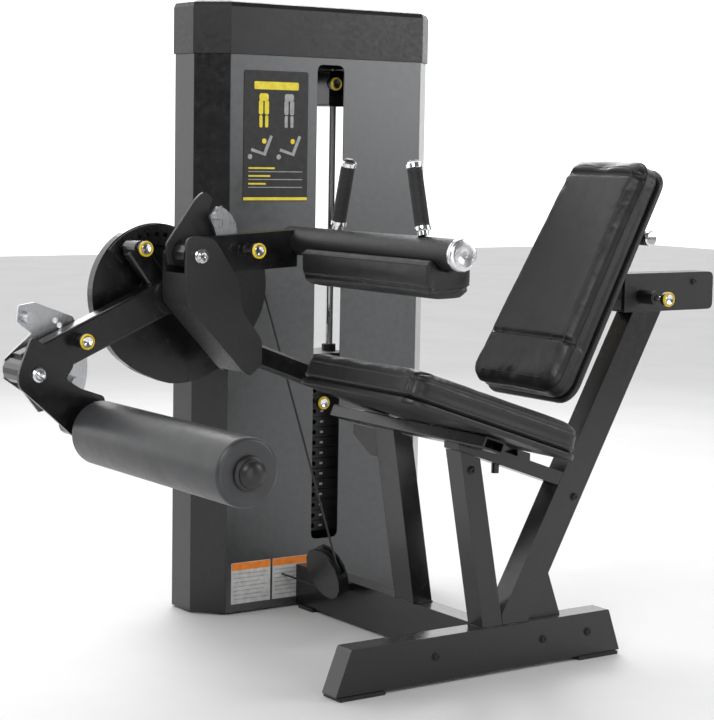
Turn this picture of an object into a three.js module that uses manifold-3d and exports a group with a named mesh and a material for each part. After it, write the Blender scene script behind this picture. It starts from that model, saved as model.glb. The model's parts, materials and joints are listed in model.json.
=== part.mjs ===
// Seated selectorised leg curl machine, in millimetres, +Z up.
// X runs along the tower's front face, Y runs from the foot bar back to the tower, Z = 0 is the floor.
// The user sits facing -X. The last lines put the origin under the middle of the machine.
import * as THREE from "three";
import { mergeVertices } from "three/addons/utils/BufferGeometryUtils.js";
import Module from "manifold-3d";

const wasm = await Module();
wasm.setup();

// ---------------------------------------------------------------- driving dimensions
const GAP = 0.3; // clearance kept between pieces that touch
const SHEET = 3; // tower panel thickness
const SEAT_Y = -710; // middle plane of the user, the seat and its posts
const NEAR = SEAT_Y - 25; // near and far faces of the 50 mm frame tubes
const FAR = SEAT_Y + 25;
const FRAME_TOP = 102; // top of the foot bar and of the spine
const FRAME_BOTTOM = 8;

const TOWER = { width: 535, depth: 208, chamfer: 61, bottom: 5, top: 1300, capTop: 1420 };
const SLOT = { x0: 236, x1: 312, z0: 157, z1: 1284 };
const STACK = { x: 267.5, width: 204, y0: 40, y1: 166, bottom: 168, pitch: 25.4, plate: 24, resting: 12, lifted: 4 };
const ROD = { spacing: 163, y: 104, radius: 9 };
const CABLE_RADIUS = 2.5;

const KNEE = { x: -345, z: 785 }; // main axis of the lever and the cam
const CAM = { y0: -276, y1: -254, disc: 145, groove: 17 };
const INDEX_HOLES = { radius: 122, first: 127, step: -9.3, count: 8 };
const LEVER = { y0: -345, y1: -305, height: 70, tilt: 23.4 };
const ANKLE = { x: -671, z: 644, pinX: -554, pinZ: 701 };
const ROLLER = { x: -552, z: 527, radius: 63.3, y0: -990, y1: -430 };
const THIGH = { x: -341, z: 871, tubeX: -88, tubeZ: 897, tubeRadius: 30, pinX: -229, pinZ: 882 };
const ARM = { y0: -440, y1: -400 };
const KNEE_FRONT = { y0: -455, y1: -445 };
const KNEE_REAR = { y0: -365, y1: -355 };

const SEAT = { x0: -155, z0: 615, length: 465, thickness: 68, y0: -912, y1: -508, slope: 18.6 };
const RECLINE = 29.6; // back pad, from the vertical
const PAD = { x: 243, z: 608, length: 552, thickness: 70, bottomWidth: 294, topWidth: 256 };
const SLEEVE = { x0: 548, x1: 810, y0: -735, y1: -685, z0: 750, z1: 833 };
const BACK_PIN = { x: 595, z: 783 };

const FLOOR_PULLEY = { x: 140, y: -215, z: 130, radius: 50 };
const CABLE_TOP = { x: -74, y: -265, z: 787 };

const SIDES = 14; // facets of a round piece
const FINE = 28; // facets of the large round pieces
const HOLE = 6; // facets of a small hole

// ---------------------------------------------------------------- small tools
const rad = THREE.MathUtils.degToRad;
const V = (x, y, z) => new THREE.Vector3(x, y, z);
const ALONG_X = V(1, 0, 0);
const ALONG_Y = V(0, 1, 0);
const UP = V(0, 0, 1);
const polar = (centre, radius, deg) => [
  centre.x + radius * Math.cos(rad(deg)),
  centre.z + radius * Math.sin(rad(deg)),
];

// A three.js geometry as a manifold solid, ready to be joined or cut.
function solid(geometry) {
  const bare = geometry.index ? geometry.toNonIndexed() : geometry.clone();
  bare.deleteAttribute("normal");
  bare.deleteAttribute("uv");
  const merged = mergeVertices(bare, 1e-3);
  const vertProperties = new Float32Array(merged.attributes.position.array);
  const triVerts = new Uint32Array(merged.index.array);
  return new wasm.Manifold(new wasm.Mesh({ numProp: 3, vertProperties, triVerts }));
}

function geometryOf(made) {
  const mesh = made.getMesh();
  const geometry = new THREE.BufferGeometry();
  geometry.setAttribute("position", new THREE.BufferAttribute(mesh.vertProperties, mesh.numProp));
  geometry.setIndex(new THREE.BufferAttribute(mesh.triVerts, 1));
  geometry.computeVertexNormals();
  return geometry;
}

const join = (...solids) => solids.reduce((a, b) => a.add(b));
const cut = (body, ...tools) => tools.reduce((a, b) => a.subtract(b), body);

function box(x0, x1, y0, y1, z0, z1) {
  const geometry = new THREE.BoxGeometry(x1 - x0, y1 - y0, z1 - z0);
  geometry.translate((x0 + x1) / 2, (y0 + y1) / 2, (z0 + z1) / 2);
  return solid(geometry);
}

// A turned piece: the profile's points are [radius, distance] from the start along a direction.
function turned(start, direction, profile, sides = SIDES) {
  const geometry = new THREE.LatheGeometry(profile.map(([r, d]) => new THREE.Vector2(r, d)), sides);
  const turn = new THREE.Quaternion().setFromUnitVectors(ALONG_Y, direction.clone().normalize());
  geometry.applyQuaternion(turn);
  geometry.translate(start.x, start.y, start.z);
  return solid(geometry);
}

// A round bar from one point to another.
function rod(from, to, radius, sides = SIDES) {
  const along = to.clone().sub(from);
  const length = along.length();
  return turned(from, along, [[0, 0], [radius, 0], [radius, length], [0, length]], sides);
}

// A round bar or cutter along Y at a place in the XZ plane.
const rodY = (x, z, y0, y1, radius, sides = SIDES) => rod(V(x, y0, z), V(x, y1, z), radius, sides);

const outline = (points) => new THREE.Shape(points.map(([a, b]) => new THREE.Vector2(a, b)));

// An outline whose corners are rounded: points are [a, b, reach of the rounding].
function softOutline(points) {
  const shape = new THREE.Shape();
  points.forEach(([a, b, reach = 0.05], i) => {
    const here = new THREE.Vector2(a, b);
    const before = new THREE.Vector2(points.at(i - 1)[0], points.at(i - 1)[1]);
    const next = points[(i + 1) % points.length];
    const after = new THREE.Vector2(next[0], next[1]);
    const start = here.clone().addScaledVector(before.sub(here).normalize(), reach);
    const end = here.clone().addScaledVector(after.sub(here).normalize(), reach);
    if (i === 0) shape.moveTo(start.x, start.y);
    else shape.lineTo(start.x, start.y);
    shape.quadraticCurveTo(a, b, end.x, end.y);
  });
  return shape;
}

const roundedRect = (a0, a1, b0, b1, r) =>
  softOutline([
    [a0, b0, r],
    [a1, b0, r],
    [a1, b1, r],
    [a0, b1, r],
  ]);

// A plate drawn in the XZ plane, between two values of Y.
function plateXZ(shape, y0, y1, curveSegments = 3) {
  const geometry = new THREE.ExtrudeGeometry(shape, { depth: y1 - y0, bevelEnabled: false, curveSegments });
  geometry.rotateX(Math.PI / 2);
  geometry.translate(0, y1, 0);
  return solid(geometry);
}

// A plate drawn in the XY plane, between two heights.
function plateXY(shape, z0, z1, curveSegments = 3) {
  const geometry = new THREE.ExtrudeGeometry(shape, { depth: z1 - z0, bevelEnabled: false, curveSegments });
  geometry.translate(0, 0, z0);
  return solid(geometry);
}

// A rectangular bar with rounded edges between two points; width is measured along side.
function bar(from, to, width, height, radius, side) {
  const along = to.clone().sub(from);
  const section = roundedRect(-width / 2, width / 2, -height / 2, height / 2, radius);
  const options = { depth: along.length(), bevelEnabled: false, curveSegments: 2 };
  const geometry = new THREE.ExtrudeGeometry(section, options);
  const z = along.normalize();
  const y = z.clone().cross(side).normalize();
  const x = y.clone().cross(z);
  geometry.applyMatrix4(new THREE.Matrix4().makeBasis(x, y, z));
  geometry.translate(from.x, from.y, from.z);
  return solid(geometry);
}

// ---------------------------------------------------------------- assembly
const machine = new THREE.Group();

function place(name, made, material) {
  const mesh = new THREE.Mesh(geometryOf(made), material);
  mesh.name = name;
  machine.add(mesh);
  return mesh;
}

const finish = (color, roughness, metalness) =>
  new THREE.MeshStandardMaterial({ color, roughness, metalness });
const blackPaint = () => finish(0x17181a, 0.35, 0.15);
const wrinklePaint = () => finish(0x1d1e20, 0.6, 0.15);
const greyPaint = () => finish(0x4c4e51, 0.45, 0.35);
const silverPaint = () => finish(0x9fa1a4, 0.4, 0.4);
const plastic = () => finish(0x202123, 0.5, 0);
const chrome = () => finish(0xdfe1e4, 0.12, 1);
const zinc = () => finish(0xb9bbbd, 0.35, 0.9);
const vinyl = () => finish(0x1b1c1e, 0.5, 0);
const rubber = () => finish(0x121212, 0.85, 0);
const castIron = () => finish(0x1a1b1d, 0.55, 0.3);
const knobPlastic = () => finish(0x8a7a1c, 0.35, 0);

// ---------------------------------------------------------------- tower
function towerPlan(grow) {
  const { width, depth, chamfer } = TOWER;
  return outline([
    [-grow * 0.4, -grow],
    [width + grow * 0.4, -grow],
    [width + chamfer + grow, chamfer - grow * 0.4],
    [width + chamfer + grow, depth - chamfer + grow * 0.4],
    [width + grow * 0.4, depth + grow],
    [-grow * 0.4, depth + grow],
    [-chamfer - grow, depth - chamfer + grow * 0.4],
    [-chamfer - grow, chamfer - grow * 0.4],
  ]);
}

function towerFront() {
  const panel = box(0, TOWER.width, 0, SHEET, TOWER.bottom, TOWER.top);
  const slot = plateXZ(roundedRect(SLOT.x0, SLOT.x1, SLOT.z0, SLOT.z1, 16), -5, 10);
  const cableHole = rodY(cableRun.x, cableRun.z, -5, 10, 14);
  return cut(panel, slot, cableHole);
}

// Front chamfer, side and rear chamfer of one flank are a single folded sheet.
function towerFlank(mirrored) {
  const { chamfer, depth, width } = TOWER;
  const points = [
    [-GAP, GAP],
    [-GAP, 4.5],
    [-chamfer + SHEET, chamfer + 1.2],
    [-chamfer + SHEET, depth - chamfer - 1.2],
    [-GAP, depth - 4.5],
    [-GAP, depth - GAP],
    [-chamfer, depth - chamfer],
    [-chamfer, chamfer],
  ];
  const placed = mirrored ? points.map(([x, y]) => [width - x, y]) : points;
  return plateXY(outline(placed), TOWER.bottom, TOWER.top);
}

function towerRear() {
  const panel = box(0, TOWER.width, TOWER.depth - SHEET, TOWER.depth, TOWER.bottom, TOWER.top);
  return cut(panel, box(150, 460, TOWER.depth - 10, TOWER.depth + 5, 150, 1250));
}

function towerCap() {
  const bevel = 14;
  const options = { bevelEnabled: true, bevelThickness: bevel, bevelSize: bevel, bevelSegments: 2 };
  const depth = TOWER.capTop - TOWER.top - bevel;
  const block = new THREE.ExtrudeGeometry(towerPlan(4 - bevel), { ...options, depth });
  block.translate(0, 0, TOWER.top);
  const below = box(-200, 900, -200, 400, TOWER.top - 100, TOWER.top + GAP);
  const hollow = plateXY(towerPlan(-6), TOWER.top - 100, TOWER.capTop - 8);
  return cut(solid(block), below, hollow);
}

// Floor of the tower: tray, feet, the column under the stack and the fork of the low pulley.
function towerBase() {
  const tray = box(4, TOWER.width - 4, 4, TOWER.depth - 4, 12, 34);
  const feet = [40, TOWER.width - 40].flatMap((x) =>
    [36, TOWER.depth - 36].map((y) => rod(V(x, y, 0), V(x, y, 20), 24)),
  );
  const column = box(STACK.x - 96, STACK.x + 96, 62, 146, 30, STACK.bottom - GAP);
  const { x } = cableRun;
  const cheeks = [-1, 1].map((side) => box(x + side * 13 - 2, x + side * 13 + 2, 40, 78, 30, 150));
  const axle = rod(V(x - 14, lowPulley.y, lowPulley.z), V(x + 14, lowPulley.y, lowPulley.z), 7);
  return join(cut(join(tray, column), box(x - 11, x + 11, 30, 150, 40, 200)), ...feet, ...cheeks, axle);
}

const rodAt = (side, z) => V(STACK.x + (side * ROD.spacing) / 2, ROD.y, z);
const guideRod = (side) => rod(rodAt(side, STACK.bottom + GAP), rodAt(side, 1286), ROD.radius);

// Bridge that holds the tops of the guide rods and the fork of the top pulley.
function rodBridge() {
  const bridge = box(3.5, TOWER.width - 3.5, 64, 144, 1279, 1289);
  const rodHoles = [-1, 1].map((side) => rod(rodAt(side, 1200), rodAt(side, 1400), ROD.radius + GAP));
  const cableHoles = [cableRun.x, STACK.x].map((x) => rod(V(x, ROD.y, 1200), V(x, ROD.y, 1400), 8));
  const cheeks = [-1, 1].map((side) => {
    const y = ROD.y + side * 13;
    return box(topPulley.x - 20, topPulley.x + 20, y - 2, y + 2, 1284, topPulley.z + 16);
  });
  const axle = rodY(topPulley.x, topPulley.z, ROD.y - 14, ROD.y + 14, 7);
  return join(cut(bridge, ...rodHoles, ...cableHoles), ...cheeks, axle);
}

// ---------------------------------------------------------------- weight stack
const plateBottom = (n) => STACK.bottom + n * STACK.pitch + GAP;
const headBottom = plateBottom(STACK.resting + STACK.lifted);
const headTop = headBottom + STACK.plate;
const pinZ = plateBottom(STACK.resting) + STACK.plate / 2;
const stackX0 = STACK.x - STACK.width / 2;
const stackX1 = STACK.x + STACK.width / 2;

const rodHoles = (z0, z1) => [-1, 1].map((side) => rod(rodAt(side, z0), rodAt(side, z1), ROD.radius + 1));
const stemHole = (z0, z1) => rod(V(STACK.x, ROD.y, z0), V(STACK.x, ROD.y, z1), 12);

// Plates joined by a core a little smaller than they are, so each joint between plates is a groove.
function weightPlates(first, count) {
  const low = plateBottom(first);
  const high = plateBottom(first + count - 1) + STACK.plate;
  const plates = Array.from({ length: count }, (_, i) => {
    const z = plateBottom(first + i);
    return box(stackX0, stackX1, STACK.y0, STACK.y1, z, z + STACK.plate);
  });
  const core = box(stackX0 + 4, stackX1 - 4, STACK.y0 + 4, STACK.y1 - 4, low, high);
  const pinHoles = Array.from({ length: count }, (_, i) =>
    rodY(STACK.x, plateBottom(first + i) + STACK.plate / 2, STACK.y0 - 5, ROD.y, 6, HOLE),
  );
  return cut(join(core, ...plates), ...rodHoles(low - 5, high + 5), stemHole(low - 5, high + 5), ...pinHoles);
}

// Top plate of the stack with a bushing and a rubber ring round each guide rod.
function headPlate() {
  const plate = box(stackX0, stackX1, STACK.y0, STACK.y1, headBottom, headTop);
  const rings = [-1, 1].map((side) => rod(rodAt(side, headTop - 1), rodAt(side, headTop + 16), 17));
  return cut(join(plate, ...rings), ...rodHoles(headBottom - 5, headTop + 30), stemHole(headBottom - 5, headTop + 5));
}

// Drilled stem that hangs through the plates; the pin engages its front wall.
function selectorStem() {
  const bottom = STACK.bottom + 14;
  const top = headTop + 58;
  const stem = rod(V(STACK.x, ROD.y, bottom), V(STACK.x, ROD.y, top), 11.5);
  const nut = rod(V(STACK.x, ROD.y, headTop + GAP), V(STACK.x, ROD.y, headTop + 22), 18, 6);
  const bore = rod(V(STACK.x, ROD.y, bottom + 60), V(STACK.x, ROD.y, top + 5), 4.5);
  const socket = rodY(STACK.x, pinZ, 60, 98.6, 5.3);
  return cut(join(stem, nut), bore, socket);
}

// ---------------------------------------------------------------- pull knobs and pins
// Knob on a plunger pointing along +Y: knob face at yFace, tip of the plunger at yTip.
function pullPin(x, z, yFace, yTip, plunger = 5) {
  return turned(
    V(x, yFace, z),
    ALONG_Y,
    [
      [0, 0],
      [9, 0],
      [13.5, 2],
      [16, 7],
      [16, 14],
      [11, 20],
      [plunger, 22],
      [plunger, yTip - yFace],
      [0, yTip - yFace],
    ],
  );
}

function incrementBlock() {
  const { x } = rodAt(1, 0);
  const block = plateXZ(roundedRect(x - 26, x + 23, 1190, 1275, 6), 80, 135);
  const bush = rodY(incrementPin.x, incrementPin.z, 76, 82, 13);
  const bore = rodY(incrementPin.x, incrementPin.z, 60, 92, 5.3);
  return cut(join(block, bush), rod(V(x, ROD.y, 1100), V(x, ROD.y, 1300), ROD.radius + GAP), bore);
}

const incrementPin = { x: 327, z: 1243 };

// ---------------------------------------------------------------- base frame
function baseSpine() {
  const tube = box(195, 245, FAR + GAP, -GAP, FRAME_BOTTOM, FRAME_TOP);
  const foot = box(190, 250, -80, -20, 0, FRAME_BOTTOM + 1);
  return join(tube, foot);
}

const footBar = () =>
  plateXZ(
    softOutline([
      [-187, FRAME_BOTTOM + GAP, 3],
      [564, FRAME_BOTTOM + GAP, 3],
      [530, FRAME_TOP, 4],
      [-150, FRAME_TOP, 4],
    ]),
    NEAR,
    FAR,
  );

const rubberFoot = (x) => plateXZ(roundedRect(x - 56, x + 56, 0, FRAME_BOTTOM, 3), NEAR - 4, FAR + 4);

// Front post of the seat, leaning forward from the foot bar up to the inclined beam.
const seatFrontPost = () =>
  plateXZ(
    outline([
      [181, FRAME_TOP + GAP],
      [233, FRAME_TOP + GAP],
      [162.7, railUnder(162.7) - 15 - GAP],
      [111, railUnder(111) - 15 - GAP],
    ]),
    NEAR,
    FAR,
  );

// Far post of the seat, standing on the spine, with the gusset under the cross rail.
function seatFarPost() {
  const post = plateXZ(
    outline([
      [190, FRAME_TOP + GAP],
      [240, FRAME_TOP + GAP],
      [176, railUnder(176) - GAP],
      [126, railUnder(126) - GAP],
    ]),
    -480,
    -410,
  );
  const gusset = plateXZ(outline([[147, 420], [155, 420], [155, 478], [147, 480]]), -411, -300);
  const slant = new THREE.ExtrudeGeometry(outline([[-402, 400], [-280, 400], [-280, 470]]), { depth: 60 });
  slant.applyMatrix4(new THREE.Matrix4().makeBasis(ALONG_Y, UP, ALONG_X));
  slant.translate(120, 0, 0);
  return join(post, cut(gusset, solid(slant)));
}

// Rear post, reclined like the back pad, with the triangular gusset behind its foot.
function backPost() {
  const lean = 355 / 648;
  const half = 41;
  const low = FRAME_TOP + GAP;
  const high = SLEEVE.z0 - GAP;
  const at = (z, side) => 259 + (z - 102) * lean + side * half;
  const post = plateXZ(
    outline([
      [234, low],
      [at(low, 1), low],
      [at(high, 1), high],
      [at(high, -1), high],
      [at(125, -1), 125],
    ]),
    NEAR,
    FAR,
  );
  const gusset = plateXZ(outline([[at(low, 1) - 2, low], [407, low], [at(218, 1), 218]]), SEAT_Y - 5, SEAT_Y + 5);
  return join(post, gusset);
}

const railUnder = (x) => 500 - 0.35 * (x - 100);
const railTop = (x) => railUnder(x) + 28.2;

// Cross rail under the seat, square to the seat board.
function crossRail() {
  const section = softOutline([
    [100, railUnder(100), 3],
    [152, railUnder(152), 3],
    [161, railTop(161) - GAP, 3],
    [110, railTop(110) - GAP, 3],
  ]);
  const inner = outline([
    [106, railUnder(106) + 5],
    [149, railUnder(149) + 5],
    [155, railTop(155) - 5],
    [113, railTop(113) - 5],
  ]);
  return cut(plateXZ(section, -819, -275), plateXZ(inner, -830, -785), plateXZ(inner, -309, -270));
}

const beamUnder = (x) => 483 - 0.35 * (x - 107);

// Beam from the front post to the rear post, with the blocks that carry the seat board.
function seatBeam() {
  const x1 = 259 + (400 - 102) * (355 / 648) - 41;
  const beam = plateXZ(
    outline([
      [107, beamUnder(107)],
      [x1 + 9, beamUnder(x1 + 9)],
      [x1 + 9, beamUnder(x1 + 9) + 31],
      [107, beamUnder(107) + 31],
    ]),
    NEAR,
    FAR,
  );
  const blocks = [185, 262].map((x) =>
    plateXZ(
      outline([
        [x, beamUnder(x) + 28],
        [x + 34, beamUnder(x + 34) + 28],
        [x + 34, seatUnder(x + 34) - GAP],
        [x, seatUnder(x) - GAP],
      ]),
      NEAR,
      FAR,
    ),
  );
  const stud = rod(V(223, SEAT_Y, 424), V(223, SEAT_Y, beamUnder(223) + 4), 8);
  const railRoom = plateXZ(
    outline([
      [90, railUnder(90) - GAP],
      [153, railUnder(153) - GAP],
      [162, railTop(162)],
      [90, 540],
    ]),
    -760,
    -660,
  );
  const postRoom = plateXZ(outline([[354, 300], [800, 300], [800, 760], [605, 760]]), -760, -660);
  const shifted = 259 + (300 - 102) * (355 / 648) - 41 - 1;
  const postCut = plateXZ(
    outline([[shifted, 300], [800, 300], [800, 600], [shifted + 300 * (355 / 648), 600]]),
    -760,
    -660,
  );
  return cut(join(beam, ...blocks, stud), railRoom, postCut, postRoom);
}

// ---------------------------------------------------------------- seat
const seatTilt = Math.tan(rad(SEAT.slope));
const seatUnder = (x) => SEAT.z0 - (x - SEAT.x0) * seatTilt;

function seatPad() {
  const plan = roundedRect(0, SEAT.length, SEAT.y0, SEAT.y1, 42);
  const options = { depth: SEAT.thickness, bevelEnabled: false, curveSegments: 6 };
  const geometry = new THREE.ExtrudeGeometry(plan, options);
  geometry.rotateY(rad(SEAT.slope));
  geometry.translate(SEAT.x0, 0, SEAT.z0);
  return solid(geometry);
}

// ---------------------------------------------------------------- knee bracket
function kneeFront() {
  const plate = plateXZ(
    softOutline([
      [-371, 908, 14],
      [-371, 775, 10],
      [-236, 631, 8],
      [-221, 623, 6],
      [-193, 645, 10],
      [-193, 697, 12],
      [-242, 760, 14],
      [-247, 817, 14],
      [-307, 905, 14],
      [-342, 912, 12],
    ].reverse()),
    KNEE_FRONT.y0,
    KNEE_FRONT.y1,
  );
  return cut(plate, rodY(THIGH.x, THIGH.z, -470, -430, 10.3));
}

// Rear plate, the sector with the thigh pad's height holes, and the web that closes the left edge.
function kneeRear() {
  const plate = plateXZ(
    softOutline([
      [-236, 631, 8],
      [-221, 623, 6],
      [-193, 645, 10],
      [-193, 697, 12],
      [-242, 760, 14],
      [-247, 817, 10],
      [-305, 877, 8],
      [-341, 887, 8],
      [-371, 878, 8],
      [-371, 775, 10],
    ]),
    KNEE_REAR.y0,
    KNEE_REAR.y1,
  );
  const rim = Array.from({ length: 12 }, (_, i) => polar(THIGH, 130, -6 + i * 5));
  const sector = plateXZ(outline([[-330, 848], ...rim, [-349, 893], [-358, 868]]), -397, -389);
  const ear = plateXZ(
    softOutline([
      [-318, 850, 4],
      [-264, 905, 4],
      [-289, 957, 8],
      [-278, 984, 8],
      [-297, 1001, 12],
      [-318, 984, 10],
      [-386, 892, 10],
      [-380, 850, 6],
    ]),
    -397,
    -389,
  );
  const spacers = [
    rodY(THIGH.x, THIGH.z, -392, KNEE_REAR.y0 + 2, 15.5),
    rodY(-290, 850, -392, KNEE_REAR.y0 + 2, 10),
  ];
  const web = plateXZ(
    outline([[-371, 836], [-371, 775], [-236, 631], [-229, 638], [-362, 779], [-362, 836]]),
    KNEE_FRONT.y1 + GAP,
    KNEE_REAR.y0 + 1,
  );
  const stop = rodY(-274, 812, KNEE_FRONT.y1 + GAP, KNEE_REAR.y0 + 2, 7);
  const holes = [7.9, 19, 30, 41].map((deg) => {
    const [x, z] = polar(THIGH, Math.hypot(THIGH.pinX - THIGH.x, THIGH.pinZ - THIGH.z), deg - 1.5);
    return rodY(x, z, -410, -380, 6.5, HOLE);
  });
  const boltBore = rodY(THIGH.x, THIGH.z, -420, -340, 10.3);
  const axleBore = rodY(KNEE.x, KNEE.z, -380, -340, 20.3);
  const { pinX, pinZ: z } = THIGH;
  return cut(join(plate, sector, ear, ...spacers, web, stop), boltBore, axleBore, ...holes, rodY(pinX, z, -410, -380, 6.5, HOLE));
}

// Beam from the knee bracket down to the top of the cross rail.
function kneeBeam() {
  const centreZ = (x) => 658 - 0.374 * (x + 170);
  const beam = bar(V(-232, -405, centreZ(-232)), V(158, -405, centreZ(158)), 50, 44, 5, ALONG_Y);
  const wide = bar(V(-228, -405, centreZ(-228)), V(-196, -405, centreZ(-196)), 79, 44, 3, ALONG_Y);
  const railRoom = plateXZ(outline([[60, 400], [260, 400], [260, railTop(260)], [60, railTop(60)]]), -460, -350);
  const webRoom = plateXZ(outline([[-300, 700], [-300, 560], [-200, 560], [-205, 612.5]]), -460, -350);
  return cut(join(beam, wide), railRoom, webRoom);
}

const kneeAxle = () =>
  turned(V(KNEE.x, KNEE_REAR.y0 + GAP, KNEE.z), ALONG_Y, [
    [0, 0],
    [20, 0],
    [20, 126],
    [26, 126.5],
    [26, 134],
    [22, 138],
    [0, 138],
  ]);

// ---------------------------------------------------------------- cam
const CAM_PROFILE = [
  [60, 145], [75, 145], [90, 145], [105, 145], [120, 145], [135, 145], [150, 145], [165, 145],
  [180, 145], [195, 145], [210, 145], [223, 147], [234, 154], [246, 160], [257, 168], [268, 177],
  [281, 195], [296, 211], [312, 226], [327, 241], [342, 256], [352, 268], [360, 272], [369, 273],
  [379, 272], [390, 240], [405, 170],
];

function camRadius(deg) {
  const i = CAM_PROFILE.findIndex(([a]) => a >= deg);
  const [a0, r0] = CAM_PROFILE[i - 1];
  const [a1, r1] = CAM_PROFILE[i];
  return r0 + ((r1 - r0) * (deg - a0)) / (a1 - a0);
}

// Spiral cam: index disc on the left, cable track growing from the lower left round to the right.
function cam() {
  const edge = Array.from({ length: 69 }, (_, i) => polar(KNEE, camRadius(60.5 + i * 5), 60.5 + i * 5));
  const disc = plateXZ(outline(edge), CAM.y0, CAM.y1);
  const angles = Array.from({ length: 24 }, (_, i) => 250 + i * 5.6);
  const floor = angles.map((deg) => polar(KNEE, camRadius(deg) - CAM.groove, deg));
  const beyond = angles.map((deg) => polar(KNEE, 330, deg)).reverse();
  const track = plateXZ(outline([...floor, ...beyond]), -269.5, -260.5);
  const hub = rodY(KNEE.x, KNEE.z, -284, -240, 38);
  return cut(join(disc, hub), track, rodY(KNEE.x, KNEE.z, -300, -200, 20.8));
}

function camIndexPlate() {
  const ring = new THREE.Shape();
  ring.absarc(KNEE.x, KNEE.z, 143, rad(52), rad(140), false);
  ring.absarc(KNEE.x, KNEE.z, 100, rad(140), rad(52), true);
  const plate = plateXZ(ring, CAM.y0 - GAP - 6, CAM.y0 - GAP, 14);
  const holes = Array.from({ length: INDEX_HOLES.count }, (_, i) => {
    const [x, z] = polar(KNEE, INDEX_HOLES.radius, INDEX_HOLES.first + i * INDEX_HOLES.step);
    return rodY(x, z, -300, -270, 6.3, HOLE);
  });
  return cut(plate, ...holes);
}

// Cable lying in the cam's track, from the anchor at the top right down to where it leaves.
function cableOnCam() {
  const lay = (deg) => {
    const [x, z] = polar(KNEE, camRadius(deg) - CAM.groove + CABLE_RADIUS + 1.2, deg);
    return V(x, CABLE_TOP.y, z);
  };
  const path = new THREE.CatmullRomCurve3(Array.from({ length: 9 }, (_, i) => lay(304 + i * 4.5)));
  return sweep(path, 26);
}

function sweep(path, steps) {
  const circle = new THREE.Shape();
  circle.absarc(0, 0, CABLE_RADIUS, 0, 2 * Math.PI);
  return solid(new THREE.ExtrudeGeometry(circle, { steps, extrudePath: path, curveSegments: 3, bevelEnabled: false }));
}

// ---------------------------------------------------------------- lever and ankle adjuster
const leverAxis = V(ANKLE.x - KNEE.x, 0, ANKLE.z - KNEE.z).normalize();
const leverAt = (distance) => V(KNEE.x, (LEVER.y0 + LEVER.y1) / 2, KNEE.z).addScaledVector(leverAxis, distance);
const startPin = polar(KNEE, INDEX_HOLES.radius, INDEX_HOLES.first);

// Lever: tube from the hub to the ankle barrel, with the carriers of both pull pins.
function lever() {
  const tube = bar(leverAt(0), leverAt(350), 40, LEVER.height, 5, ALONG_Y);
  const hub = rodY(KNEE.x, KNEE.z, -352, -284 - GAP, 39);
  const barrel = rodY(ANKLE.x, ANKLE.z, -392, -296, 26);
  const [x, z] = startPin;
  const carrier = bar(V(KNEE.x, -318, KNEE.z), V(x, -318, z), 26, 46, 6, ALONG_Y);
  const bush = rodY(x, z, -350, -300, 15);
  const ankleBush = rodY(ANKLE.pinX, ANKLE.pinZ, -362, -320, 14);
  return cut(
    join(tube, hub, barrel, carrier, bush, ankleBush),
    rodY(KNEE.x, KNEE.z, -400, -200, 20.8),
    rodY(x, z, -400, -200, 5.3),
    rodY(ANKLE.pinX, ANKLE.pinZ, -400, -200, 5.3),
    rodY(ANKLE.x, ANKLE.z, -450, -200, 9.4),
  );
}

const anklePivot = () =>
  turned(V(ANKLE.x, -413, ANKLE.z), ALONG_Y, [
    [0, 0],
    [12, 0],
    [15, 2.5],
    [15, 8 - GAP],
    [9, 8 - GAP],
    [9, 128],
    [0, 128],
  ]);

// Near plate of the ankle bracket, with the boss that holds the roller's shaft.
function ankleBracket() {
  const plate = plateXZ(
    softOutline(
      [
        [-685, 718, 8],
        [-593, 661, 10],
        [-612, 632, 6],
        [-580, 612, 6],
        [-528, 594, 8],
        [-522, 540, 16],
        [-548, 500, 16],
        [-590, 512, 14],
        [-642, 560, 10],
        [-712, 621, 10],
        [-712, 651, 10],
      ].reverse(),
    ),
    -405,
    -397,
  );
  const boss = rodY(ROLLER.x, ROLLER.z, -425, -292 - GAP, 21);
  return cut(join(plate, boss), rodY(ROLLER.x, ROLLER.z, -450, -320, 12.4), rodY(ANKLE.x, ANKLE.z, -450, -380, 9.4));
}

// Zinc sector with the leg length holes and its two rubber stops.
function ankleSector() {
  const rim = Array.from({ length: 9 }, (_, i) => polar(ANKLE, 163, -22 + i * 7.5));
  const plate = plateXZ(
    outline([
      [-617, 554],
      [-580, 560],
      ...rim,
      [-568, 754],
      [-625, 775],
      [-660, 770],
      [-664, 738],
      [-632, 713],
      [-690, 665],
      [-692, 625],
      [-650, 596],
    ]),
    -292,
    -286,
  );
  const pinRadius = Math.hypot(ANKLE.pinX - ANKLE.x, ANKLE.pinZ - ANKLE.z);
  const rest = THREE.MathUtils.radToDeg(Math.atan2(ANKLE.pinZ - ANKLE.z, ANKLE.pinX - ANKLE.x));
  const holes = [-14, -7, 0, 7, 14, 20].map((step) => {
    const [x, z] = polar(ANKLE, pinRadius, rest + step);
    return rodY(x, z, -300, -280, 6.3, HOLE);
  });
  const stops = [
    [-646, 746],
    [-547, 613],
  ].map(([x, z]) => rodY(x, z, -322, -290, 11));
  return cut(join(plate, ...stops), ...holes, rodY(ANKLE.x, ANKLE.z, -300, -280, 9.4));
}

// Shaft of the roller with the domed cap on its near end.
const rollerShaft = () =>
  turned(V(ROLLER.x, ROLLER.y0 - 26, ROLLER.z), ALONG_Y, [
    [0, 0],
    [12, 1],
    [21, 5],
    [26, 12],
    [26, 18],
    [32, 20],
    [32, 26 - GAP],
    [12, 26 - GAP],
    [12, 696],
    [0, 696],
  ]);

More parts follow.
